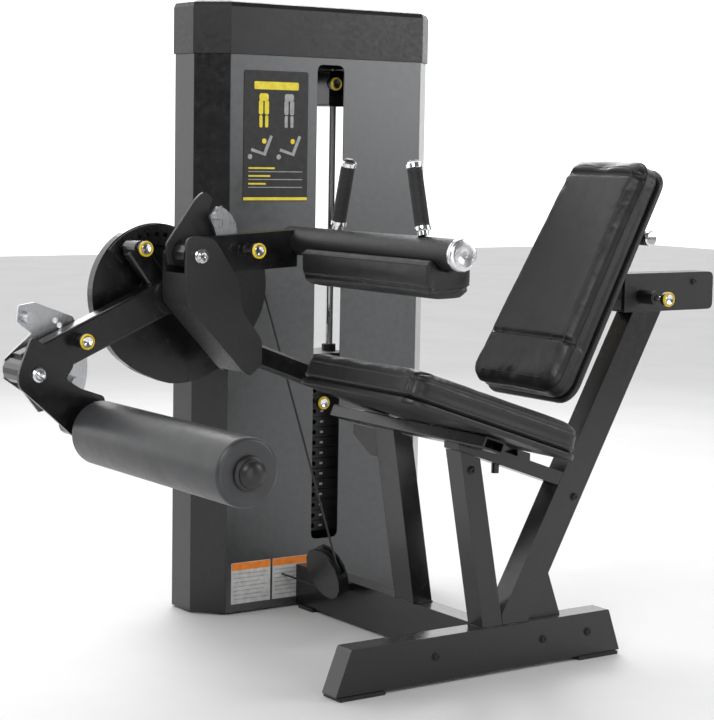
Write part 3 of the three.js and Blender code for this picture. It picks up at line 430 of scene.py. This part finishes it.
def cushion(name, outline, depth, origin, u, v, w, board, bevel, body, node):
    """Foam pad on a board: a blank a little smaller than the pad, swelled, and the board under it."""
    pad_origin = origin + w * (board / 1000)
    blank = prism(name, outline, depth - board - 4, pad_origin, u, v, w, bevel, 4)
    mesh = remeshed(blank, 0.006)
    floor = pad_origin.dot(w)
    mesh = inflated(mesh, 4.0, PAD_CAP, lambda p: min(1.0, max(0.0, (p.dot(w) - floor) / GLUED)))
    piece = add(name, mesh, body, "vinyl", replaces=(node,))
    plate = prism(name + "_board", outline, board - 1, origin + w * 0.0005, u, v, w, 2.5, 2)
    add(name + "_board", plate, body, "black_plastic")
    return mesh


def build_seat():
    u = Vector((math.cos(SEAT_SLOPE), 0, -math.sin(SEAT_SLOPE)))
    w = Vector((math.sin(SEAT_SLOPE), 0, math.cos(SEAT_SLOPE)))
    origin = at(-155, -710, 615)
    outline = rounded(3, 462, -199, 199, 40)
    mesh = cushion("seat_cushion", outline, 70, origin, u, Y, w, 13, 15, "frame", "seat_pad")
    side = lambda p, n: 1.0 if abs(n.dot(w)) < 0.8 else 0.0
    groove(mesh, origin + w * 0.054, w, 0.0022, 0.003, side)
    corner = lambda p, n: 1.0 if (p - origin).dot(u) < 0.05 else 0.0
    # The seat's seam and piping beads below are real beads, coloured lighter than the vinyl as a painted
    # highlight.
    for b in (-0.176, 0.176):
        groove(mesh, origin + Y * b, Y, 0.003, 0.003, corner)
        profile = ((-0.01, 0.020), (-0.01, 0.052), (0.012, 0.072), (0.060, 0.075))
        path = [origin + u * a + Y * b + w * c for a, c in profile]
        seam = tube(f"seat_seam_{int(b > 0)}", on_surface(mesh, dense(path, 0.004, False), -0.0002), 1.1)
        add(f"seat_seam_{int(b > 0)}", seam, "frame", "vinyl", materials=("seam_painted_highlight",))
    for word, height, size in (("low", 0.019, 2.0), ("high", 0.054, 1.1)):
        plan = rounded(-4, 469, -206, 206, 44, 8)
        line = [origin + u * (a / 1000) + Y * (b / 1000) + w * height for a, b in plan]
        bead = tube("seat_piping_" + word, on_surface(mesh, dense(line), 0.0002), size, True)
        add("seat_piping_" + word, bead, "frame", "vinyl", materials=("seam_painted_highlight",))


def build_back():
    u = Vector((math.sin(BACK_TILT), 0, math.cos(BACK_TILT)))
    w = Vector((-math.cos(BACK_TILT), 0, math.sin(BACK_TILT)))
    origin = at(243, -710, 608) - w * 0.070
    half_low, half_high, length = 143, 124, 549
    outline = []
    for cu, cv, r, turn in (
        (3, half_low, 42, 90),
        (3, -half_low, 42, 180),
        (length, -half_high, 48, 270),
        (length, half_high, 48, 0),
    ):
        su = 1 if cu < 100 else -1
        sv = -1 if cv > 0 else 1
        centre = (cu + su * r, cv + sv * r)
        steps = [math.radians(turn + 90 * i / 6) for i in range(7)]
        outline += [(centre[0] + r * math.cos(a), centre[1] + r * math.sin(a)) for a in steps]
    mesh = cushion("back_cushion", outline, 72, origin, u, Y, w, 12, 15, "back", "back_pad")
    front = lambda p, n: max(0.0, n.dot(w)) ** 0.5
    # The seam beads across and round the face are coloured lighter than the vinyl as a painted highlight; the
    # edge piping keeps the vinyl colour.
    for distance in (0.118, 0.505):
        groove(mesh, origin + u * distance, u, 0.007, 0.005, front)
        half = (0.125 - 0.012 * distance / 0.5) - 0.004
        line = dense([origin + u * distance + Y * b + w * 0.085 for b in (-half, half)], cyclic=False)
        seam = tube(f"back_seam_{int(distance * 1000)}", on_surface(mesh, line, -0.0008), 1.3)
        add(f"back_seam_{int(distance * 1000)}", seam, "back", "vinyl", materials=("seam_painted_highlight",))
    bead = dense([origin + u * (a / 1000) + Y * (b * 1.03 / 1000) + w * 0.050 for a, b in outline])
    add("back_piping", tube("back_piping", on_surface(mesh, bead, 0.0004), 1.9, True), "back", "vinyl")
    inner = [(22 + (a - 3) * 0.925, b * 0.86) for a, b in outline]
    ring = dense([origin + u * (a / 1000) + Y * (b / 1000) + w * 0.085 for a, b in inner])
    seam = tube("back_face_seam", on_surface(mesh, ring, -0.0004), 1.2, True)
    add("back_face_seam", seam, "back", "vinyl", materials=("seam_painted_highlight",))


def build_thigh_pad():
    axis = at(TUBE_X, 0, TUBE_Z)
    turns = [math.radians(a) for a in range(200, 341, 14)]
    saddle = [(TUBE_X + SADDLE * math.cos(a), TUBE_Z + SADDLE * math.sin(a)) for a in turns]
    section = [
        (-131, 884), (-133, 868), (-131, 846), (-124, 828), (-108, 819),
        (-52, 819), (-36, 828), (-29, 846), (-28, 868), (-30, 884),
    ]
    outline = [(x - 49, z) for x, z in section + saddle[::-1]]
    origin = Vector((0, at(0, -936, 0).y, 0))
    blank = prism("thigh_cushion", outline, 432, origin, X, Z, Y, 2, 1)
    mesh = remeshed(blank, 0.005)
    clear = lambda p: min(1.0, max(0.0, (math.hypot(p.x - axis.x, p.z - axis.z) - 0.034) / 0.02))
    mesh = inflated(mesh, 4.0, 0.008, clear)
    flank = lambda p, n: 1.0 if abs(n.z) < 0.8 and clear(p) > 0.3 else 0.0
    groove(mesh, at(0, 0, 832), Z, 0.0022, 0.003, flank)
    piece = add("thigh_cushion", mesh, "thigh", "vinyl", replaces=("thigh_pad",))
    y0, y1 = at(0, -942, 0).y, at(0, -498, 0).y
    # The piping beads are coloured lighter than the vinyl as a painted highlight along the top edge and the
    # lower crease.
    for word, height, size in (("top", 879, 1.8), ("low", 832, 1.1)):
        z = at(0, 0, height).z
        x0, x1 = at(-140, 0, 0).x, at(-20, 0, 0).x
        ends = [Vector((x0, y1, z)), Vector((x0, y0, z)), Vector((x1, y0, z)), Vector((x1, y1, z))]
        path = dense(ends[:2] if word == "top" else ends, cyclic=word != "top")
        seam = tube("thigh_piping_" + word, on_surface(mesh, path, 0.0002), size, word != "top")
        add("thigh_piping_" + word, seam, "thigh", "vinyl", materials=("seam_painted_highlight",))


# ------------------------------------------------------------------ turned pieces
def knob(name, node, body, x, y, z, tip):
    """Pull knob: chrome button in a yellow ring, on a black barrel and a steel plunger."""
    length = tip - y
    profile = [
        (0, 2.6, 1), (4.5, 2.5, 1), (8, 1.2, 1), (10.2, 1.0, 1), (11.4, 2.2, 1), (11.8, 3.0, 2),
        (12.3, 1.0, 0), (13.2, 0.2, 0), (14.6, 0.9, 0), (15.8, 3.2, 0), (15.9, 5.0, 0),
        (15.0, 5.6, 2), (15.2, 7.0, 2), (15.2, 13.0, 2), (13.2, 17.2, 2), (10.8, 19.6, 2),
        (8.4, 20.5, 1), (8.0, 21.8, 1), (4.9, 22.2, 1), (4.9, length - 1, 1),
        (4.0, length, 1), (0, length, 1),
    ]
    mesh = lathe(name, at(x, y, z), Y, profile)
    add(name, mesh, body, "knob", (node,), ("knob", "chrome", "black_plastic"))


def build_knobs():
    knob("selector_knob", "selector_pin", "selector_pin", 267.5, -4, 485.1, 98)
    knob("increment_knob", "increment_pin", "increment_pin", 327, 52, 1243, 90)
    x = -345 + START_RADIUS * math.cos(START_ANGLE)
    z = 785 + START_RADIUS * math.sin(START_ANGLE)
    knob("start_knob", "start_pin", "start_pin", x, -377, z, -283)
    knob("ankle_knob", "ankle_pin", "ankle_pin", -554, -386, 701, -292.8)
    knob("thigh_knob", "thigh_pin", "thigh_pin", -229, -502, 882, -397.6)
    knob("back_knob", "back_pin", "back_pin", 595, -825, 783, -730.5)


def build_roller():
    radius, length = 63.2, 560
    turns = [math.radians(a) for a in range(0, 91, 15)]
    edge = [(radius - 9 + 9 * math.sin(a), 9 - 9 * math.cos(a), 0) for a in turns]
    profile = [(12.5, 0.8, 0), (16, 0.2, 0), *edge]
    profile += [(r, length - d, 0) for r, d, _ in reversed(edge)]
    profile += [(16, length - 0.2, 0), (12.5, length - 0.8, 0)]
    mesh = lathe("roller_foam", at(-552, -990, 527), Y, profile, 72)
    piece = add("roller_foam", mesh, "roller", "roller_foam", ("roller_pad",))
    cap = [
        (0, 0.3, 0), (8, 0.8, 0), (16, 2.6, 0), (22, 6, 0), (25.2, 10.5, 0), (25.8, 15, 0), (24.8, 17.2, 0),
        (28.5, 18.2, 0), (31.4, 20, 0), (31.8, 22, 0), (31.4, 25.6, 0), (12, 25.7, 0),
        (12, 27, 1), (12, 695, 1), (0, 696, 1),
    ]
    mesh = lathe("roller_cap", at(-552, -1016, 527), Y, cap, 56)
    add("roller_cap", mesh, "ankle", "black_plastic", ("roller_shaft",), ("black_plastic", "chrome"))


def build_thigh_tube():
    profile = [(0, 0, 0), (29.9, 0, 0), (29.9, 579, 0), (0, 579, 0)]
    mesh = lathe("thigh_bar", at(TUBE_X, -975, TUBE_Z), Y, profile, 72)
    add("thigh_bar", mesh, "thigh", "wrinkle_black", ("thigh_tube",))
    cap = [
        (0, 3.6, 0), (6.5, 3.4, 0), (7.5, 1.4, 0), (9.5, 0.8, 0), (20, 0.4, 0), (21, 1.2, 0),
        (22, 0.4, 0), (26, 0.5, 0), (29.5, 2.0, 0), (31.2, 4.6, 0), (31.4, 7.4, 0), (30.2, 8.0, 0),
        (30.2, 9.0, 0), (31.4, 9.6, 0), (31.4, 14.6, 0), (0, 14.7, 0),
    ]
    mesh = lathe("thigh_bar_cap", at(-88, -990, 897), Y, cap, 72)
    add("thigh_bar_cap", mesh, "thigh", "aluminium", ("thigh_tube_cap",))


def build_grips():
    for name, y, side in (("thigh_grip_far", -562, -1), ("thigh_grip_near", -870, 1)):
        lean = Vector((0, side * math.sin(GRIP_LEAN), math.cos(GRIP_LEAN)))
        ribs = []
        for i in range(27):
            d = 53 + i * 4
            ribs += [(14.6, d, 0), (14.6, d + 2.4, 0), (13.9, d + 3.0, 0), (13.9, d + 3.6, 0)]
        profile = [
            (0, 32, 1), (10.9, 32, 1), (10.9, 40, 1), (15.8, 41, 1), (16, 45, 1), (15.6, 49.5, 1),
            (14.6, 50, 0), *ribs, (14.6, 162.5, 0), (15.9, 163.5, 1), (15.9, 171, 1), (13.6, 174.5, 1),
            (11, 176, 2), (8, 178.4, 2), (0, 178.8, 2),
        ]
        mesh = lathe(name + "_stick", at(-88, y, 897), lean, profile, 40)
        add(name + "_stick", mesh, "thigh", "rubber", (name,), ("rubber", "chrome", "black_plastic"))


def build_back_grip():
    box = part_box("back_grip_bar")
    low, high = Vector(box[0]), Vector(box[1])
    centre = (low + high) / 2
    start = Vector((centre.x, low.y, centre.z))
    sleeve = []
    for i in range(19):
        d = 12 + i * 4.4
        sleeve += [(14.9, d, 0), (14.9, d + 2.8, 0), (14.2, d + 3.4, 0), (14.2, d + 4.0, 0)]
    profile = [
        (0, 0.4, 1), (9, 0.2, 1), (13.4, 0.8, 1), (15.8, 3, 1), (15.8, 10, 1),
        (14.9, 11, 0), *sleeve, (14.9, 96, 0), (13, 97, 2),
    ]
    mirrored = [(r, 244 - d, m) for r, d, m in reversed(profile)]
    mesh = lathe("back_grip", start, Y, profile + mirrored, 40)
    add("back_grip", mesh, "back", "rubber", ("back_grip_bar",), ("rubber", "chrome", "black_paint"))


def bolt(name, x, y, z, direction, radius, body, slot="zinc"):
    """Round head with a hex socket, on a washer."""
    profile = [
        (0, 2.6, 0), (radius * 0.42, 2.6, 0), (radius * 0.45, 0.5, 0),
        (radius * 0.75, 0.1, 0), (radius * 0.95, 1.4, 0),
        (radius, 3.4, 0), (radius, 4.4, 0), (radius * 1.35, 4.6, 0), (radius * 1.38, 6.2, 0), (0, 6.3, 0),
    ]
    start = at(x, y, z) - direction * 0.0062
    add(name, lathe(name, start, direction, profile, 28), body, slot)


def build_bolts():
    for name, body, radius in (("thigh_bolt", "frame", 10), ("ankle_pivot", "ankle", 8)):
        low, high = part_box(name)
        x, z = (low[0] + high[0]) * 500 + 49, (low[2] + high[2]) * 500
        bolt(name + "_head", x, low[1] * 1000 - 402, z, Y, radius, body, "chrome")
    for i, x in enumerate((60, 345, 470)):
        bolt(f"foot_bar_bolt_{i}", x, -735, 60, Y, 7, "frame", "black_plastic")
    for i, z in enumerate((772, 812)):
        bolt(f"sleeve_bolt_{i}", 690 + i * 60, -735, z, Y, 6, "frame", "black_plastic")
    for i, (x, z) in enumerate(((140, 440), (420, 360))):
        bolt(f"post_bolt_{i}", x, -735, z, Y, 7, "frame", "black_plastic")


# ------------------------------------------------------------------ prints and labels
def patch(name, outline, y, slot, material, thickness=0.6, body="frame"):
    origin = Vector((0, at(0, y, 0).y, 0))
    shape = [(x - 49, z) for x, z in outline]
    mesh = prism(name, shape, thickness, origin, X, Z, -Y, 0.2, 1)
    add(name, mesh, body, slot, materials=(material,))


def mark(name, outline, y, material, thickness=0.4):
    """A printed shape on the tower's front."""
    patch(name, outline, y, "grey_paint", material, thickness)


def leg_figure(prefix, x, z, height, material):
    """A plain standing figure's lower half, as flat rounded shapes."""
    h = height
    hips = rounded(x - h * 0.16, x + h * 0.16, z + h * 0.78, z + h, h * 0.07)
    mark(prefix + "_hips", hips, -2.0, material, 0.6)
    for side, word in ((-1, "l"), (1, "r")):
        cx = x + side * h * 0.1
        thigh = rounded(cx - h * 0.075, cx + h * 0.075, z + h * 0.38, z + h * 0.8, h * 0.06)
        calf = rounded(cx - h * 0.055, cx + h * 0.055, z, z + h * 0.36, h * 0.05)
        mark(f"{prefix}_thigh_{word}", thigh, -2.0, material, 0.6)
        mark(f"{prefix}_calf_{word}", calf, -2.0, material, 0.6)


def build_prints():
    patch("placard_board", rounded(35, 210, 966, 1265, 5), -0.2, "black_plastic", "label_dark", 1.2)
    mark("placard_title", rounded(62, 183, 1222, 1240, 3), -1.5, "label_yellow")
    leg_figure("figure_a", 88, 1135, 78, "label_yellow")
    leg_figure("figure_b", 157, 1135, 78, "label_grey")
    for i, x in enumerate((82, 160)):
        seat = [(x - 26, 1088), (x + 6, 1078), (x + 24, 1118), (x + 31, 1115), (x + 12, 1070), (x - 28, 1081)]
        mark(f"pictogram_seat_{i}", seat, -1.9, "label_grey")
        mark(f"pictogram_roller_{i}", rounded(x - 36, x - 24, 1062, 1074, 5.9), -1.9, "label_grey")
        mark(f"pictogram_user_{i}", rounded(x + 2, x + 14, 1098, 1110, 5.9), -1.9, "label_yellow")
    for i in range(3):
        z = 1040 - i * 18
        mark(f"placard_line_{i}", rounded(48, 120 - 12 * i, z, z + 4, 1.5), -1.5, "label_yellow")
        mark(f"placard_row_{i}", rounded(48, 196, z - 7, z - 5, 0.9), -1.5, "label_grey")
    mark("placard_strip", rounded(35, 210, 968, 975, 2), -1.5, "label_yellow")
    for i, (x0, x1) in enumerate(((14, 122), (128, 236))):
        mark(f"label_board_{i}", rounded(x0, x1, 24, 122, 2), -0.2, "label_white", 0.5)
        mark(f"label_band_{i}", rounded(x0 + 1, x1 - 1, 104, 121, 1), -0.8, "label_orange", 0.3)
        for k in range(7):
            z = 94 - k * 10
            line = rounded(x0 + 6, x1 - 8 - (k % 3) * 9, z, z + 2.2, 0.9)
            mark(f"label_line_{i}_{k}", line, -0.8, "label_grey", 0.3)


def build_stack_labels():
    for i in range(PLATES):
        z = STACK_BOTTOM + i * PLATE_PITCH + 12
        body = "frame" if i < RESTING else "stack"
        shape = rounded(284, 293, z - 2.6, z + 2.6, 1)
        patch(f"plate_label_{i}", shape, 39.8, "cast_iron", "label_white", 0.4, body)


def build_welds():
    """Weld beads where the posts meet the foot bar and the spine."""
    feet = (
        ("weld_front_post", 181, 233, -735, -685),
        ("weld_back_post", 235, 300, -735, -685),
        ("weld_far_post", 190, 240, -480, -410),
    )
    for name, x0, x1, y0, y1 in feet:
        corners = [at(x0, y0, 103), at(x1, y0, 103), at(x1, y1, 103), at(x0, y1, 103)]
        add(name, tube(name, corners, 2.2, True), "frame", "black_paint")


# ------------------------------------------------------------------ stage, light and camera
def build_stage():
    floor = Look("floor", (0.8, 0.8, 0.8), 0.6)
    floor.tint(floor.noise(2, 3), (0.78, 0.78, 0.78), (0.82, 0.82, 0.82))
    bm = bmesh.new()
    bmesh.ops.create_grid(bm, x_segments=2, y_segments=2, size=14)
    mesh = finish_mesh(bm, "floor")
    mesh.materials.append(floor.material)
    ground = bpy.data.objects.new("floor", mesh)
    scene.collection.objects.link(ground)
    world = bpy.data.worlds.new("studio")
    world.use_nodes = True
    tree = world.node_tree
    coords = tree.nodes.new("ShaderNodeTexCoord")
    split = tree.nodes.new("ShaderNodeSeparateXYZ")
    ramp = tree.nodes.new("ShaderNodeValToRGB")
    ramp.color_ramp.elements[0].position = 0.0
    ramp.color_ramp.elements[0].color = (0.1, 0.1, 0.1, 1)
    ramp.color_ramp.elements[1].position = 0.35
    ramp.color_ramp.elements[1].color = (1, 1, 1, 1)
    tree.links.new(coords.outputs["Generated"], split.inputs["Vector"])
    tree.links.new(split.outputs["Y"], ramp.inputs["Fac"])
    tree.links.new(ramp.outputs["Color"], tree.nodes["Background"].inputs["Color"])
    tree.nodes["Background"].inputs["Strength"].default_value = 1.5
    scene.world = world


def area_light(name, place, target, size, power):
    data = bpy.data.lights.new(name, "AREA")
    data.shape = "RECTANGLE"
    data.size, data.size_y = size
    data.energy = power
    light = bpy.data.objects.new(name, data)
    light.location = place
    light.rotation_euler = (Vector(target) - Vector(place)).to_track_quat("-Z", "Y").to_euler()
    scene.collection.objects.link(light)


def build_camera():
    azimuth, drop, roll = math.radians(34.83), math.radians(6.17), math.radians(0.98)
    ahead = Vector((math.sin(azimuth) * math.cos(drop), math.cos(azimuth) * math.cos(drop), -math.sin(drop)))
    right = ahead.cross(Z).normalized()
    up = right.cross(ahead)
    across = right * math.cos(roll) + up * math.sin(roll)
    upward = up * math.cos(roll) - right * math.sin(roll)
    data = bpy.data.cameras.new("camera")
    data.lens = 97.68
    data.sensor_width = 36
    data.clip_end = 60
    camera = bpy.data.objects.new("camera", data)
    turn = Matrix((across, upward, -ahead)).transposed().to_4x4()
    camera.matrix_world = Matrix.Translation(at(-2312.4, -3843.7, 1090)) @ turn
    scene.collection.objects.link(camera)
    scene.camera = camera


build_seat()
build_back()
build_thigh_pad()
build_knobs()
build_roller()
build_thigh_tube()
build_grips()
build_back_grip()
build_bolts()
build_prints()
build_stack_labels()
build_welds()
build_stage()
area_light("key", (-3.2, -2.6, 3.4), (0, 0, 0.6), (2.6, 2.0), 110)
area_light("fill", (3.4, -3.0, 2.2), (0.1, -0.2, 0.7), (2.2, 2.6), 60)
area_light("rim", (1.6, 3.2, 3.0), (0, 0, 0.8), (3.0, 1.6), 80)
area_light("front", (-0.6, -4.6, 1.2), (0, 0, 0.7), (2.0, 2.4), 35)
build_camera()
scene.view_settings.view_transform = "Standard"
